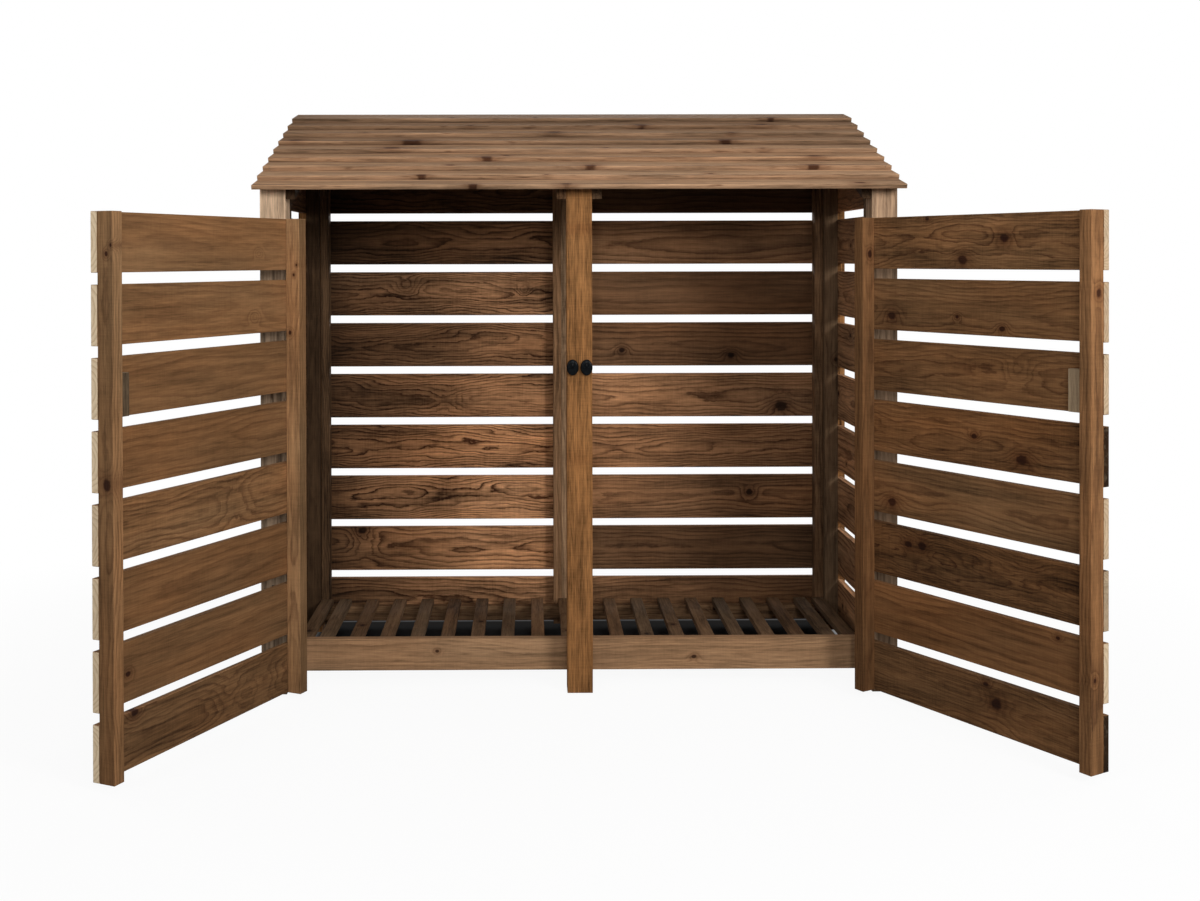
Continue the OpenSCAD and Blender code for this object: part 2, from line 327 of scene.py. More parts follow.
    # the stain: how dark it dried, in fine fibres, streaks, saw marks and long patches
    fibre = variation("fibre", 1.0, 3.0, 0.65)
    streak = variation("streak", 1.0, 4.0, 0.6)
    patch = variation("patch", 1.0, 3.0)
    saw = variation("saw", 1.0)
    level = add("Math", [streak, finish["streak"]], operation="MULTIPLY")
    level = add("Math", [fibre, finish["fibre"], level], operation="MULTIPLY_ADD")
    level = add("Math", [patch, finish["patch"], level], operation="MULTIPLY_ADD")
    level = add("Math", [saw, finish["saw"], level], operation="MULTIPLY_ADD")
    level = add("Math", [level, strength, 1.0], operation="MULTIPLY_ADD")
    level = add("Math", [add("Math", [level, sawnFace["darkest"]], operation="MAXIMUM"), tone],
                operation="MULTIPLY")
    # shade darkens or lightens parts of a board: the darker sawn ends, and painted shade and painted light
    # along edges, along the inside, below a post's top and on inside faces
    level = add("Math", [level, add("Math", [1.0, shade], operation="SUBTRACT")], operation="MULTIPLY")
    # painted shade: the wood is drawn darker towards the bottom
    height = add("SeparateXYZ", [add("TexCoord", take="Object")], take=2)
    paintedFootShade = add("MapRange", {"Value": height, "From Max": sawnFace["paintedShadeHeight"],
                            "To Min": sawnFace["paintedShadeTone"], "To Max": 1.0})
    level = add("Math", [level, paintedFootShade], operation="MULTIPLY")
    warm = add("Math", [warmth, variation("hue", finish["hue"])], operation="ADD")
    red = add("Math", [level, warm, level], operation="MULTIPLY_ADD")
    blue = add("Math", [level, add("Math", [1.0, warm], operation="SUBTRACT")], operation="MULTIPLY")
    tint = add("CombineXYZ", [red, level, blue])
    stained = add("Mix", {0: 1.0, 6: colour, 7: tint}, take=2, data_type="RGBA", blend_type="MULTIPLY")

    # sawn ends are bare wood, where the stain hasn't covered them
    rim = add("Math", [profile, 0.5], operation="MULTIPLY")
    bare = add("Mix", {0: rim, 6: linearColour(sawnFace["endColour"]), 7: linearColour(sawnFace["endRings"])},
               take=2, data_type="RGBA")
    uneven = add("Math", [variation("sawnEnd", sawnFace["endUneven"]), bareEnd], operation="ADD")
    cover = add("Math", [end, uneven], operation="MULTIPLY", use_clamp=True)
    finished = add("Mix", {0: cover, 6: stained, 7: bare}, take=2, data_type="RGBA")
    tree.links.new(finished, shader.inputs["Base Color"])

    # sawn surface: late wood and fibres stand a fraction of a millimetre proud
    relief = add("Math", [saw, sawnFace["sawProud"], fibre], operation="MULTIPLY_ADD")
    relief = add("Math", [lateWood, sawnFace["lateProud"], relief], operation="MULTIPLY_ADD")
    bump = add("Bump", {"Strength": sawnFace["reliefStrength"], "Distance": sawnFace["relief"],
                        "Height": relief})
    tree.links.new(bump, shader.inputs["Normal"])
    smooth, dull = sawnFace["roughness"]
    rough = add("MapRange", {"Value": streak, "From Min": -0.5, "From Max": 0.5, "To Min": smooth,
                             "To Max": dull})
    tree.links.new(rough, shader.inputs["Roughness"])
    shader.inputs["Specular IOR Level"].default_value = sawnFace["gloss"]
    return material


woods = {name: woodMaterial(name, finish) for name, finish in woodFinishes.items()}
print("wood finishes made")


# What is particular to each node's boards, from the top down, then from left to right. A list that is
# shorter than the boards starts again. Tones, figures, lines, warmths, ends and knots that aren't given are
# drawn at random.
# tones: how dark the board is drawn, the stain and, on the parts inside the store, painted shade and painted
# light as well; figures: how strong the grain is; lines: how wide its rings are
# warmths: how warm the colour is; ends: how bare the sawn ends are, below 0 darker than the faces
# edgeShade, and edges for single boards: how much darker the long edges are, on the half of the thickness
# that is further right, back or up, and on the other half; below 0 lighter. On the door stiles, the right
# side slats and the roof's butt edges this is painted light and painted shade
# knots: (along, across, radius in metres) for a board, where along and across are fractions of it
# outside: which side of a wall's boards faces out, 1 for the right or back, and its tone there, free of the
# painted shade and painted light that tones and drift give the inside
# drift: painted shade and painted light along the inside, as the tone at the left end, in the middle and at
# the right end
# below: how far under its top end a post gets darker, and how much, a painted shade
boardLooks = {
    "left_door_slats": {
        "wood": "doorPine",
        "tones": (1.03, 1.03, 0.93, 0.90, 1.08, 0.92, 0.94, 0.92),
        "figures": (0.45, 0.55, 0.45, 0.5, 0.8, 0.5, 0.5, 0.85),
        "lines": (1.5, 1.4, 1.5, 1.3, 1.2, 1.5, 1.5, 1.2),
        "ends": (1.0, 1.0, 1.0, 1.0, 0.8, 0.85, 0.9, 1.0),
        "warmths": (-0.045, -0.03),
        "knots": {0: [(0.298, -0.168, -0.006)], 1: [(0.273, -0.188, -0.007)], 4: [(0.157, -0.017, -0.024)],
                  6: [(-0.374, -0.036, 0.006)],
                  7: [(0.12, -0.016, -0.02), (0.323, -0.069, -0.018), (-0.344, 0.469, 0.009)]},
        "edges": {7: (-0.7, -0.2)},
    },
    "right_door_slats": {
        "wood": "doorPine",
        "tones": (0.90, 0.86, 0.81, 0.83, 0.98, 0.58, 0.98, 0.92),
        "figures": (1.2, 0.9, 1.0, 1.1, 0.8, 1.5, 0.6, 1.1),
        "lines": (1.0, 1.3, 1.2, 1.0, 1.3, 0.8, 1.5, 1.1),
        "ends": (0.55, 0.5, 0.6, -0.88, 0.6, 0.45, 0.8, -0.88),
        "knots": {0: [(-0.125, 0.059, 0.010), (0.046, -0.329, 0.011), (0.206, 0.44, 0.004)],
                  1: [(0.371, -0.222, 0.010), (0.072, -0.184, 0.004), (-0.117, -0.361, 0.006)],
                  2: [(-0.181, 0.109, -0.013)],
                  3: [(-0.197, -0.248, 0.012), (-0.001, 0.055, 0.006)],
                  4: [(0.371, -0.253, 0.011)],
                  5: [(0.295, 0.196, 0.009), (0.229, 0.221, 0.010)],
                  6: [(-0.335, 0.387, 0.004)],
                  7: [(-0.093, 0.067, 0.012), (-0.051, 0.383, 0.006)]},
    },
    # painted shadow: the back walls' two top rows are drawn dark in the roof's shade, and the tones and drift
    # below them are painted shade and painted light of the inside
    "left_back_slats": {
        "wood": "wallPine",
        "tones": (0.3, 0.3, 0.43, 0.82, 0.58, 0.83, 1.14, 1.31, 1.30, 1.18),
        "figures": (1.0, 1.0, 0.95, 1.0, 0.95, 1.0, 1.0, 1.0, 0.85, 0.8),
        "lines": (1.1, 1.1, 1.1, 0.8, 0.8, 0.85, 0.85, 0.9, 1.3, 1.1),
        "knots": {3: [(-0.146, 0.178, -0.011), (0.345, 0.057, -0.007)],
                  5: [(0.02, -0.149, -0.016)],
                  8: [(-0.339, 0.404, 0.010), (-0.326, 0.08, -0.015)]},
        "outside": (1, 1.15),
        "drift": (0.20, 1.30, 1.32),
    },
    "right_back_slats": {
        "wood": "wallPine",
        "tones": (0.3, 0.3, 0.85, 0.45, 0.46, 1.02, 0.86, 0.78, 0.46, 0.68),
        "figures": (0.4, 0.4, 0.45, 0.3, 0.45, 0.7, 0.8, 0.6, 0.5, 0.6),
        "lines": (1.4, 1.4, 1.5, 1.6, 1.3, 1.1, 1.0, 1.1, 1.2, 1.2),
        "knots": {4: [(-0.335, -0.136, 0.007), (0.124, -0.258, 0.008)], 5: [(0.335, -0.266, 0.015)],
                  7: [(0.2, 0.1, 0.009)]},
        "outside": (1, 1.15),
        "drift": (1.38, 0.95, 0.74),
    },
    # painted shade and painted light: the side walls and battens inside are drawn dark on the left and light
    # on the right, and the right slats' pale edges are a painted highlight
    "left_side_slats": {"wood": "wallPine", "tones": (0.40, 0.44, 0.38, 0.42), "figures": (0.7,),
                        "outside": (-1, 1.15)},
    "right_side_slats": {"wood": "wallPine", "tones": (1.35, 1.5, 1.4, 1.5), "warmths": (-0.08,),
                         "figures": (0.6,), "edgeShade": (-0.8, -0.8), "outside": (1, 1.15)},
    "left_side_battens": {"wood": "battenPine", "tones": (0.28,)},
    "right_side_battens": {"wood": "battenPine", "tones": (0.75,), "warmths": (-0.12,)},
    "back_battens": {"wood": "battenPine", "tones": (0.45, 1.02, 0.8, 0.80)},
    "front_rail": {"wood": "battenPine", "tones": (1.72,), "warmths": (-0.06,), "figures": (0.3,),
                   "lines": (0.8,), "knots": {0: [(0.2, -0.1, 0.005), (-0.247, 0.1, 0.004)]}},
    "floor_bearers": {"wood": "battenPine", "tones": (0.9,)},
    "left_floor_battens": {"wood": "battenPine", "tones": (0.66, 0.74, 0.68, 0.86, 0.72),
                           "warmths": (-0.06, -0.12, -0.02), "figures": (0.6,)},
    "right_floor_battens": {"wood": "battenPine", "tones": (0.74, 0.66, 0.8, 0.7),
                            "warmths": (-0.08, -0.02, -0.12), "figures": (0.6,)},
    "front_centre_post": {"wood": "postPine", "tones": (0.86,), "figures": (0.55,),
                          "knots": {0: [(0.40, -0.32, 0.006), (-0.045, -0.25, 0.006), (-0.02, 0.2, 0.005)]}},
    # painted light and shade: the front corner posts are drawn pale at the top and darker below it, where the
    # open doors shade them
    "front_left_post": {"wood": "roofPine", "tones": (2.0,), "warmths": (-0.16,), "figures": (0.12,),
                        "below": (0.18, 0.62)},
    "front_right_post": {"wood": "roofPine", "tones": (1.12,), "warmths": (-0.10,), "figures": (0.12,),
                         "below": (0.18, 0.42)},
    "rear_left_post": {"wood": "postPine", "tones": (0.52,), "warmths": (0.02,), "outside": (1, 1.2)},
    "rear_centre_post": {"wood": "battenPine", "tones": (1.6,), "warmths": (-0.12,)},
    "rear_right_post": {"wood": "postPine", "tones": (0.85,), "outside": (1, 1.2)},
    "left_door_block": {"wood": "battenPine", "tones": (0.62,), "warmths": (-0.2,)},
    "right_door_block": {"wood": "battenPine", "tones": (2.1,), "warmths": (-0.26,), "figures": (0.3,)},
    # painted light and shade: the free stiles' edges are drawn lighter than their faces and the left hinge
    # stile's edges darker, for faces turned towards and away from the light
    "left_door_free_stile": {"wood": "doorPine", "tones": (0.92,), "figures": (0.7,), "warmths": (-0.09,),
                             "knots": {0: [(0.425, 0.1, 0.004), (0.44, 0.4, 0.003), (0.023, 0.1, 0.010)]},
                             "edgeShade": (-0.48, -0.48)},
    "left_door_hinge_stile": {"wood": "doorPine", "tones": (2.03,), "figures": (0.7,), "warmths": (-0.10,),
                              "knots": {0: [(0.382, 0.1, 0.003), (0.261, -0.2, 0.004), (0.403, 0.3, 0.003)]},
                              "edgeShade": (0.5, 0.5)},
    "right_door_free_stile": {"wood": "doorPine", "tones": (1.12,), "figures": (0.7,),
                              "knots": {0: [(0.352, 0.1, 0.007), (-0.332, -0.2, 0.004)]},
                              "edgeShade": (-0.05, -0.05)},
    "right_door_hinge_stile": {"wood": "doorPine", "tones": (0.80,), "figures": (0.7,),
                               "knots": {0: [(0.423, 0.1, 0.007)]}},
    # painted shade: the rafters under the roof are drawn dark
    "left_rafter": {"wood": "battenPine", "tones": (0.20,)},
    "right_rafter": {"wood": "battenPine", "tones": (0.20,)},
    "left_middle_rafter": {"wood": "battenPine", "tones": (0.38,)},
    "right_middle_rafter": {"wood": "battenPine", "tones": (0.38,)},
}
# the roof's rows from the front to the back; the lower half of each row's butt edge is drawn darker, a
# painted shadow line
roofLooks = {
    "tones": (0.98, 1.04, 0.98, 0.96, 0.92, 0.70, 0.80, 0.64, 0.62),
    "knots": (((-0.02, -0.40, 0.011), (-0.163, -0.48, 0.009), (0.43, -0.3, 0.010)),
              ((-0.245, -0.45, 0.010), (0.207, -0.3, 0.006), (-0.05, -0.40, 0.005)),
              ((-0.203, -0.3, 0.009), (0.02, -0.42, 0.014), (0.375, -0.44, 0.014)),
              ((-0.146, -0.44, 0.012), (0.388, -0.35, 0.013), (-0.114, -0.2, 0.008)),
              ((-0.306, -0.25, 0.018), (0.311, -0.42, 0.006), (0.05, -0.3, 0.006)),
              ((-0.276, -0.40, 0.022), (0.255, -0.42, 0.016), (-0.473, -0.3, 0.014)),
              ((-0.034, -0.30, 0.014), (0.271, -0.42, 0.007), (-0.36, -0.3, 0.005)),
              ((0.12, -0.40, 0.014), (0.331, -0.3, 0.013), (-0.18, -0.4, 0.008)),
              ((-0.215, -0.3, 0.006), (0.355, -0.42, 0.012), (-0.067, -0.3, 0.005))),
}
for number in range(9):
    boardLooks[f"roof_board_{number + 1}"] = {
        "wood": "roofPine", "tones": (roofLooks["tones"][number],), "figures": (0.22,), "lines": (1.5,),
        "edgeShade": (0.0, 0.42), "knots": {0: roofLooks["knots"][number]}}

sawing = {
    "edgeRadius": 0.0014,
    "edgeSteps": 2,
    "cutEvery": 0.11,         # a ring of points this often along a board, for its slight unevenness
    "thicknessPlay": 0.03,    # share of the size
    "widthPlay": 0.006,
    "thicknessWaves": 5.0,    # to a metre of board
    "widthWaves": 3.0,
    "endBevel": 0.0004,       # points this near a board's end belong to the sawn end
    "weld": 0.00002,          # corners this near are one
    "flat": 0.02,             # radians between faces that count as one
}


def splitBoards(nodeName):
    # the separate boards of a CAD node, each with flat faces merged
    whole = bmesh.new()
    whole.from_mesh(nodes[nodeName].data)
    bmesh.ops.remove_doubles(whole, verts=whole.verts, dist=sawing["weld"])
    bmesh.ops.dissolve_limit(whole, angle_limit=sawing["flat"], verts=whole.verts, edges=whole.edges)
    boards = []
    waiting = set(whole.faces)
    while waiting:
        group = [waiting.pop()]
        for face in group:
            for edge in face.edges:
                for other in edge.link_faces:
                    if other in waiting:
                        waiting.remove(other)
                        group.append(other)
        board = whole.copy()
        board.faces.ensure_lookup_table()
        kept = {face.index for face in group}
        others = [face for face in board.faces if face.index not in kept]
        bmesh.ops.delete(board, geom=others, context="FACES")
        boards.append(board)
    whole.free()
    return boards


def spread(board, axis):
    values = [v.co.dot(axis) for v in board.verts]
    return max(values) - min(values)


def boardFrame(board):
    # middle of the board and its directions along, across and through, from its own edges
    edges = sorted(board.edges, key=lambda e: e.calc_length(), reverse=True)
    along = (edges[0].verts[1].co - edges[0].verts[0].co).normalized()
    square = []
    for edge in edges:
        direction = (edge.verts[1].co - edge.verts[0].co).normalized()
        if abs(direction.dot(along)) < 0.05:
            square.append(direction)
    through = min(square, key=lambda d: spread(board, d))
    through = (through - along * through.dot(along)).normalized()
    across = through.cross(along).normalized()
    axes = []
    for axis in (along, across, through):
        main = max(range(3), key=lambda i: abs(axis[i]))
        axes.append(axis if axis[main] > 0 else -axis)
    middle = Vector((0, 0, 0))
    for axis in axes:
        values = [v.co.dot(axis) for v in board.verts]
        middle += axis * (max(values) + min(values)) / 2
    return middle, axes, [spread(board, axis) for axis in axes]


def measuredBoards(nodeName):
    # the boards with their frames, from the top down, then from left to right, then from the back
    boards = [(board, *boardFrame(board)) for board in splitBoards(nodeName)]
    boards.sort(key=lambda b: (-round(b[1].z, 3), round(b[1].x, 3), -round(b[1].y, 3)))
    return boards


def makeBoards(nodeName, look):
    # replaces a CAD node's boards by boards with eased edges, slight unevenness and their own grain
    rng = random.Random(nodeName)
    whole = bmesh.new()
    layerNames = ("grain", "board", "stain") + knotNames
    layers = {key: whole.verts.layers.float_vector.new(key) for key in layerNames}
    endLayer = whole.verts.layers.float.new("endGrain")
    shadeLayer = whole.verts.layers.float.new("shade")

    def choose(key, index, low, high):
        values = look.get(key)
        return values[index % len(values)] if values else rng.uniform(low, high)

    outside = look.get("outside")
    below = look.get("below")
    drift = look.get("drift")
    for index, (board, middle, axes, size) in enumerate(measuredBoards(nodeName)):
        bmesh.ops.bevel(board, geom=board.edges[:], offset=sawing["edgeRadius"], segments=sawing["edgeSteps"],
                        profile=0.5, affect="EDGES", clamp_overlap=True, material=-1)
        along, across, through = axes
        cuts = max(2, int(size[0] / sawing["cutEvery"]))
        for i in range(1, cuts):
            everything = board.verts[:] + board.edges[:] + board.faces[:]
            bmesh.ops.bisect_plane(board, geom=everything, dist=sawing["weld"] / 2,
                                   plane_co=middle + along * size[0] * (i / cuts - 0.5), plane_no=along)
        start = len(whole.verts)
        mesh = bpy.data.meshes.new("board")
        board.to_mesh(mesh)
        board.free()
        whole.from_mesh(mesh)
        bpy.data.meshes.remove(mesh)
        whole.verts.ensure_lookup_table()
        seed = rng.random()
        tone = choose("tones", index, 0.9, 1.08)
        figure = choose("figures", index, 0.7, 1.15)
        warmth = choose("warmths", index, -0.03, 0.03)
        bareEnd = choose("ends", index, 0.1, 0.35)
        edgeShade = look.get("edges", {}).get(index, look.get("edgeShade", (0.05, 0.05)))
        ringScale = choose("lines", index, 0.9, 1.5)
        knots = list(look.get("knots", {}).get(index, []))
        if not look.get("knots") and rng.random() < 0.5:
            knots.append((rng.uniform(-0.45, 0.45), rng.uniform(-0.4, 0.4), rng.uniform(0.004, 0.009)))
        while len(knots) < len(knotNames):
            knots.append((0, 30, 0.001))
        for vert in whole.verts[start:]:
            local = vert.co - middle
            u, v, w = local.dot(along), local.dot(across), local.dot(through)
            vert[layers["grain"]] = (u, v, w)
            vert[layers["board"]] = (seed, tone, figure)
            vert[layers["stain"]] = (warmth, max(bareEnd, 0.0), ringScale)
            for name, (knotAlong, knotAcross, knotRadius) in zip(knotNames, knots):
                vert[layers[name]] = (knotAlong * size[0], knotAcross * size[1], knotRadius)
            atEnd = abs(u) > size[0] / 2 - sawing["endBevel"]
            atEdge = abs(v) > size[1] / 2 - sawing["endBevel"]
            vert[endLayer] = 1.0 if atEnd else 0.0
            shade = 0.0
            if atEnd:
                shade = max(-bareEnd, 0.0)
            elif atEdge:
                shade = edgeShade[0 if w > 0 else 1]
            # painted shade and painted light: the drift along the inside, the darkening below a post's top
            # end, and the inside tones that the outside face doesn't share
            if drift and w * outside[0] <= 0:
                reach = abs(u) / size[0] * 2
                shade = 1 - (1 - shade) * (drift[1] + (drift[2 if u > 0 else 0] - drift[1]) * reach)
            if below and size[0] / 2 - u > below[0]:
                shade = 1 - (1 - shade) * (1 - below[1])
            if outside and w * outside[0] > 0:
                shade = 1 - (1 - shade) * outside[1] / tone
            vert[shadeLayer] = shade
            thin = max(noise.noise(Vector((u * sawing["thicknessWaves"], seed * 40, 0))) * 0.5 + 0.5, 0.0)
            slim = max(noise.noise(Vector((u * sawing["widthWaves"], seed * 40, 5))) * 0.5 + 0.5, 0.0)
            vert.co -= through * w * thin * sawing["thicknessPlay"] + across * v * slim * sawing["widthPlay"]
    bmesh.ops.recalc_face_normals(whole, faces=whole.faces[:])
    addPiece(nodeName + "_sawn", whole, [woods[look["wood"]]], nodes[nodeName]["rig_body"], nodeName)


for nodeName, look in boardLooks.items():
    makeBoards(nodeName, look)
print("boards made")


# Black lacquered cast iron, black powder-coated steel, and dull oxidised steel for the nails and hinge
# screws: a fine orange-peel or scaly surface, with small patches worn to another tone. grit is the size of
# its bumps in millimetres.
metalFinishes = {
    "blackIron": {"colour": "#090b0d", "worn": "#14181c", "roughness": (0.14, 0.24), "grit": 1.43,
                  "gloss": 0.045},
    "blackSteel": {"colour": "#121212", "worn": "#2c2a28", "roughness": (0.42, 0.60), "grit": 1.11,
                   "gloss": 0.12},
    "nailSteel": {"colour": "#4b4540", "worn": "#2e1f17", "roughness": (0.45, 0.65), "grit": 0.83,
                  "gloss": 0.3},
}
metalSurface = {
    "patch": 8.3,             # millimetres, like the grit
    "patchRange": (0.5, 0.75),
    "relief": 0.0003,
    "reliefStrength": 0.3,
}


def metalMaterial(name, finish):
    material, tree, shader = newMaterial(name)
    add = partial(addNode, tree)
    place = add("TexCoord", take="Object")
    grit = add("TexNoise", {"Vector": place, "Scale": timesPerMetre(finish["grit"]), "Detail": 3.0})
    wear = add("TexNoise", {"Vector": place, "Scale": timesPerMetre(metalSurface["patch"]), "Detail": 4.0})
    start, full = metalSurface["patchRange"]
    amount = add("MapRange", {"Value": wear, "From Min": start, "From Max": full})
    colour = add("Mix", {0: amount, 6: linearColour(finish["colour"]), 7: linearColour(finish["worn"])},
                 take=2, data_type="RGBA")
    tree.links.new(colour, shader.inputs["Base Color"])
    smooth, dull = finish["roughness"]
    rough = add("MapRange", {"Value": wear, "To Min": smooth, "To Max": dull})
    tree.links.new(rough, shader.inputs["Roughness"])
    shader.inputs["Specular IOR Level"].default_value = finish["gloss"]  # lacquer or oxide covers the metal
    bump = add("Bump", {"Strength": metalSurface["reliefStrength"], "Distance": metalSurface["relief"],
                        "Height": grit})
    tree.links.new(bump, shader.inputs["Normal"])
    return material


metals = {name: metalMaterial(name, finish) for name, finish in metalFinishes.items()}

turnButton = {
    "segments": 48,
    # (distance in from the rim, height) from the back to the crown
    "steps": ((0.0, 0.0026), (0.0006, 0.0040), (0.0020, 0.0052), (0.0045, 0.0061), (0.0080, 0.0066)),
    "ridge": (0.0180, 0.0060, 0.0026),  # width, height and how far it stands out
    "ridgeBase": 0.0062,
    "ridgeRound": 0.0016,
}


def makeTurnButton(side):
    # a domed iron oval with a finger ridge across its middle
    nodeName = side + "_turn_button"
    low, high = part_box(nodeName)
    middle = (low + high) / 2
    halfWidth, halfLength = (high.x - low.x) / 2, (high.z - low.z) / 2
    bm = bmesh.new()
    bmesh.ops.create_circle(bm, cap_ends=True, segments=turnButton["segments"], radius=1.0)
    for vert in bm.verts:
        vert.co = (vert.co.x * halfWidth, vert.co.y * halfLength, 0)
    face = bm.faces[:][0]
    previous = 0.0
    for inset, rise in turnButton["steps"]:
        step = inset - previous
        previous = inset
        if step:
            bmesh.ops.inset_region(bm, faces=[face], thickness=step, depth=0, use_even_offset=True)
            level = rise - face.calc_center_median().z
            bmesh.ops.translate(bm, verts=face.verts[:], vec=(0, 0, level))
        else:
            grown = bmesh.ops.extrude_face_region(bm, geom=[face])
            face = next(part for part in grown["geom"] if isinstance(part, bmesh.types.BMFace))
            bmesh.ops.translate(bm, verts=face.verts[:], vec=(0, 0, rise))
    width, tall, proud = turnButton["ridge"]
    ridge = bmesh.ops.create_cube(bm, size=1.0)["verts"]
    bmesh.ops.scale(bm, verts=ridge, vec=(width, tall, proud * 2))
    bmesh.ops.translate(bm, verts=ridge, vec=(0, 0, turnButton["ridgeBase"]))
    edges = {edge for vert in ridge for edge in vert.link_edges}
    bmesh.ops.bevel(bm, geom=list(edges), offset=turnButton["ridgeRound"], segments=3, profile=0.5,
                    affect="EDGES", clamp_overlap=True, material=-1)
    bmesh.ops.recalc_face_normals(bm, faces=bm.faces[:])
    turn = Matrix.Translation((middle.x, high.y, middle.z)) @ Matrix.Rotation(math.radians(90), 4, "X")
    bmesh.ops.transform(bm, matrix=turn, verts=bm.verts[:])
    addPiece(nodeName + "_cast", bm, [metals["blackIron"]], nodeName, nodeName, smooth=True)


for side in ("left", "right"):
    makeTurnButton(side)
for nodeName, finishName in (("button_screws", "blackIron"), ("left_door_straps", "blackSteel"),
                             ("right_door_straps", "blackSteel"), ("left_post_hinges", "blackSteel"),
                             ("right_post_hinges", "blackSteel")):
    nodes[nodeName].data.materials.clear()
    nodes[nodeName].data.materials.append(metals[finishName])


def addHead(bm, place, outward, shape):
    # one nail or screw head, its crown towards outward
    turn = outward.to_track_quat("Z", "Y").to_matrix().to_4x4()
    made = bmesh.ops.create_cone(bm, cap_ends=True, segments=shape["segments"], radius1=shape["radius"],
                                 radius2=shape["crown"], depth=shape["rise"])
    bmesh.ops.transform(bm, matrix=Matrix.Translation(place) @ turn, verts=made["verts"])


nails = {
    "segments": 10,
    "radius": 0.0026,
    "crown": 0.00208,         # radius of the flat top
    "rise": 0.0008,
    "sunk": 0.6,              # share of the rise from a head's middle out to the board's face
    "fromEnd": 0.024,
    "fromMiddle": 0.28,       # share of a board's width
    # the boards, and what they are nailed to: the heads are on the other side
    "boards": (("left_door_slats", "left_door_hinge_stile"), ("right_door_slats", "right_door_hinge_stile"),
               ("left_back_slats", "rear_centre_post"), ("right_back_slats", "rear_centre_post"),
               ("left_side_slats", "rear_left_post"), ("right_side_slats", "rear_right_post"),
               ("left_floor_battens", "floor_bearers"), ("right_floor_battens", "floor_bearers")),
}


def makeNails(nodeName, support):
    # two nail heads at each end of each board, set just flush with its outer face
    low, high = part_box(support)
    inner = (low + high) / 2
    whole = bmesh.new()
    for board, middle, (along, across, through), size in measuredBoards(nodeName):
        board.free()
        outward = through if (middle - inner).dot(through) > 0 else -through
        for end in (-1, 1):
            for side in (-1, 1):
                place = (middle + along * end * (size[0] / 2 - nails["fromEnd"])
                         + across * side * size[1] * nails["fromMiddle"]
                         + outward * (size[2] / 2 - nails["rise"] * nails["sunk"]))
                addHead(whole, place, outward, nails)
    addPiece(nodeName + "_nails", whole, [metals["nailSteel"]], nodes[nodeName]["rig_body"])


for boardsNode, supportNode in nails["boards"]:
    makeNails(boardsNode, supportNode)

hingeScrews = {
    "segments": 16,
    "radius": 0.0045,
    "crown": 0.0026,
    "rise": 0.0014,
    "spread": 0.026,                  # above and below the middle of a hinge
    "onDoor": (0.030, 0.064, 0.098),  # along the door, from the hinge pin
    "onPost": (-0.034, -0.018),
    "face": 0.0014,                   # from the pin back to the plates' outer face
    "sunk": 0.0002,
}


def makeHingeScrews(nodeName, joint, distances, opened):
    # pan-head screws in pairs along the plates of two hinges
    pin = Vector(joint["pos_m"])
    turn = Matrix.Rotation(-math.radians(opened) * joint["axis"][2], 3, "Z")
    along = turn @ Vector((-math.copysign(1, pin.x), 0, 0))
    outward = turn @ Vector((0, -1, 0))
    seat = hingeScrews["rise"] / 2 - hingeScrews["face"] - hingeScrews["sunk"]
    levels = set()
    for plate in splitBoards(joint["child"] + "_straps"):
        heights = [vert.co.z for vert in plate.verts]
        levels.add(round((max(heights) + min(heights)) / 2, 4))
        plate.free()
    whole = bmesh.new()
    for level in sorted(levels):
        for distance in distances:
            for rise in (-hingeScrews["spread"], hingeScrews["spread"]):
                place = Vector((pin.x, pin.y, level + rise)) + along * distance + outward * seat
                addHead(whole, place, outward, hingeScrews)
    addPiece(nodeName + "_screws", whole, [metals["nailSteel"]], nodes[nodeName]["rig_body"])


for joint in frame["record"]["behaviour"]["joints"]:
    if joint["child"] in ("left_door", "right_door"):
        makeHingeScrews(joint["child"] + "_straps", joint, hingeScrews["onDoor"], joint["range_deg"][1])
        makeHingeScrews(joint["child"].replace("door", "post") + "_hinges", joint, hingeScrews["onPost"], 0)
print("iron made")


lamps = {
    "key": {"place": (2.8, -3.9, 2.5), "aim": (0, 0, 0.8), "size": 1.4, "power": 130},
    "front": {"place": (0.3, -5.0, 2.4), "aim": (0, 0, 0.8), "size": 1.6, "power": 76},
    "left": {"place": (-3.1, -3.9, 2.2), "aim": (0, 0, 0.8), "size": 1.6, "power": 46},
    "top": {"place": (0.3, -1.6, 4.4), "aim": (0, 0.2, 1.4), "size": 2.0, "power": 26},
    "rear": {"place": (0.0, 4.8, 2.6), "aim": (0, 0.3, 0.9), "size": 2.4, "power": 105},
    "farLeft": {"place": (-4.4, 1.6, 2.2), "aim": (0, 0.2, 0.8), "size": 1.8, "power": 42},
    "farRight": {"place": (4.4, 1.6, 2.2), "aim": (0, 0.2, 0.8), "size": 1.8, "power": 42},
}
studio = {
    "world": 0.06,            # strength of the surrounding light
    "groundBounce": 0.25,     # how much of the lamps' light the floor sends back to the store
}


def addLamp(name, settings):
    data = bpy.data.lights.new(name, "AREA")
    data.energy = settings["power"]
    data.size = settings["size"]
    lamp = bpy.data.objects.new(name, data)
    scene.collection.objects.link(lamp)
    place = Vector(settings["place"])
    lamp.location = place
    lamp.rotation_euler = (Vector(settings["aim"]) - place).to_track_quat("-Z", "Y").to_euler()


for name, settings in lamps.items():
    addLamp(name, settings)

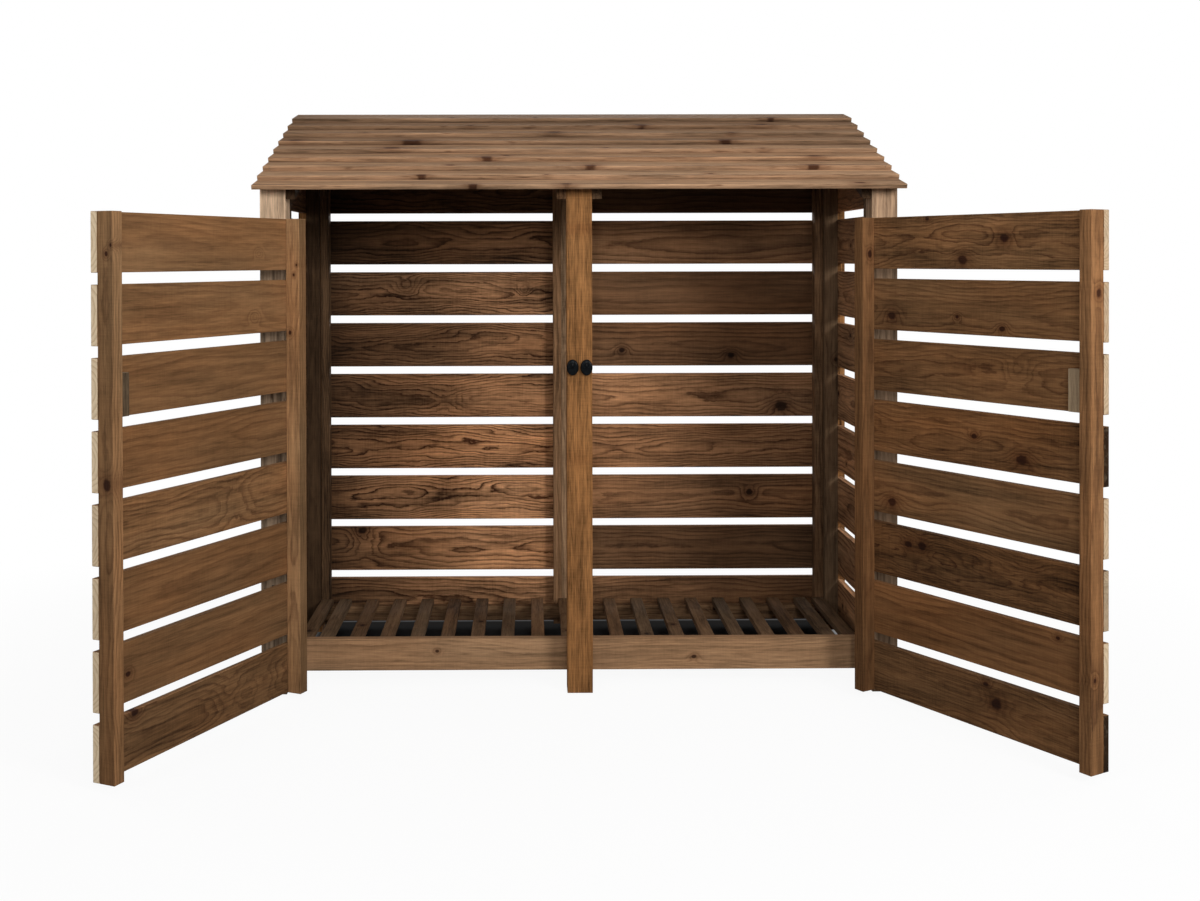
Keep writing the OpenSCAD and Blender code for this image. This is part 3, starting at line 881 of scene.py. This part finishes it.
world = bpy.data.worlds.new("studio")
scene.world = world
world.use_nodes = True
worldTree = world.node_tree
worldTree.nodes.clear()
rays = addNode(worldTree, "LightPath").node
seen = addNode(worldTree, "Math", [rays.outputs["Is Camera Ray"], rays.outputs["Is Glossy Ray"]],
               operation="MAXIMUM")
strength = addNode(worldTree, "MapRange", {"Value": seen, "To Min": studio["world"], "To Max": 1.0})
backdrop = addNode(worldTree, "Background", {"Color": (1, 1, 1, 1), "Strength": strength})
addNode(worldTree, "OutputWorld", [backdrop])


ground = {
    "size": 14,
    "colour": 0.9,
    "near": 0.93,             # how much the floor glows beside the store, 1 is plain white
    "fade": (0.35, 1.5),      # metres from the store over which the floor turns plain white
    "store": ((0.0, -0.05), (1.2, 0.75)),  # middle and half size of the ground that it covers
    # middle and half size of the ground drawn dark as painted shade below the floor battens and just behind
    # the back wall, and how wide it fades out
    "under": ((0.0, 0.59), (0.84, 0.17), 0.15),
    "shaded": 0.03,
}


def addGround():
    bm = bmesh.new()
    bmesh.ops.create_grid(bm, x_segments=1, y_segments=1, size=ground["size"])
    material, tree, shader = newMaterial("matt white studio floor")
    shader.inputs["Roughness"].default_value = 0.9
    shader.inputs["Specular IOR Level"].default_value = 0.0

    def boxDistance(middle, half):
        # distance on the floor outside a rectangle
        place = addNode(tree, "TexCoord", take="Object")
        for operation, amount in (("SUBTRACT", (*middle, 0)), ("ABSOLUTE", (0, 0, 0)),
                                  ("SUBTRACT", (*half, 0)), ("MAXIMUM", (0, 0, 0))):
            place = addNode(tree, "VectorMath", [place, amount], operation=operation)
        return addNode(tree, "VectorMath", [place], take="Value", operation="LENGTH")

    path = addNode(tree, "LightPath").node
    visible = addNode(tree, "Math", [path.outputs["Is Camera Ray"], path.outputs["Is Glossy Ray"]],
                      operation="MAXIMUM")
    far = addNode(tree, "MapRange", {"Value": boxDistance(*ground["store"]), "From Min": ground["fade"][0],
                                     "From Max": ground["fade"][1], "To Min": ground["near"], "To Max": 1.0},
                  interpolation_type="SMOOTHSTEP")
    middle, half, soft = ground["under"]
    # painted shade: the ground under and just behind the store is drawn dark
    shade = addNode(tree, "MapRange", {"Value": boxDistance(middle, half), "From Max": soft},
                    interpolation_type="SMOOTHSTEP")
    bright = addNode(tree, "MapRange", {"Value": shade, "To Min": ground["shaded"],
                                        "To Max": ground["colour"]})
    tint = addNode(tree, "MapRange", {"Value": visible, "To Min": studio["groundBounce"], "To Max": bright})
    tree.links.new(addNode(tree, "CombineXYZ", [tint, tint, tint]), shader.inputs["Base Color"])
    amount = addNode(tree, "Math", [addNode(tree, "Math", [far, shade], operation="MULTIPLY"), visible],
                     operation="MULTIPLY")
    glow = addNode(tree, "Emission", {"Color": (1, 1, 1, 1), "Strength": 1.0})
    mixed = addNode(tree, "MixShader", [amount, shader.outputs[0], glow])
    tree.links.new(mixed, tree.nodes["Material Output"].inputs["Surface"])
    mesh = bpy.data.meshes.new("floor")
    bm.to_mesh(mesh)
    bm.free()
    mesh.materials.append(material)
    floor = bpy.data.objects.new("floor", mesh)
    scene.collection.objects.link(floor)


addGround()
scene.view_settings.view_transform = "Standard"
print("light and ground set")
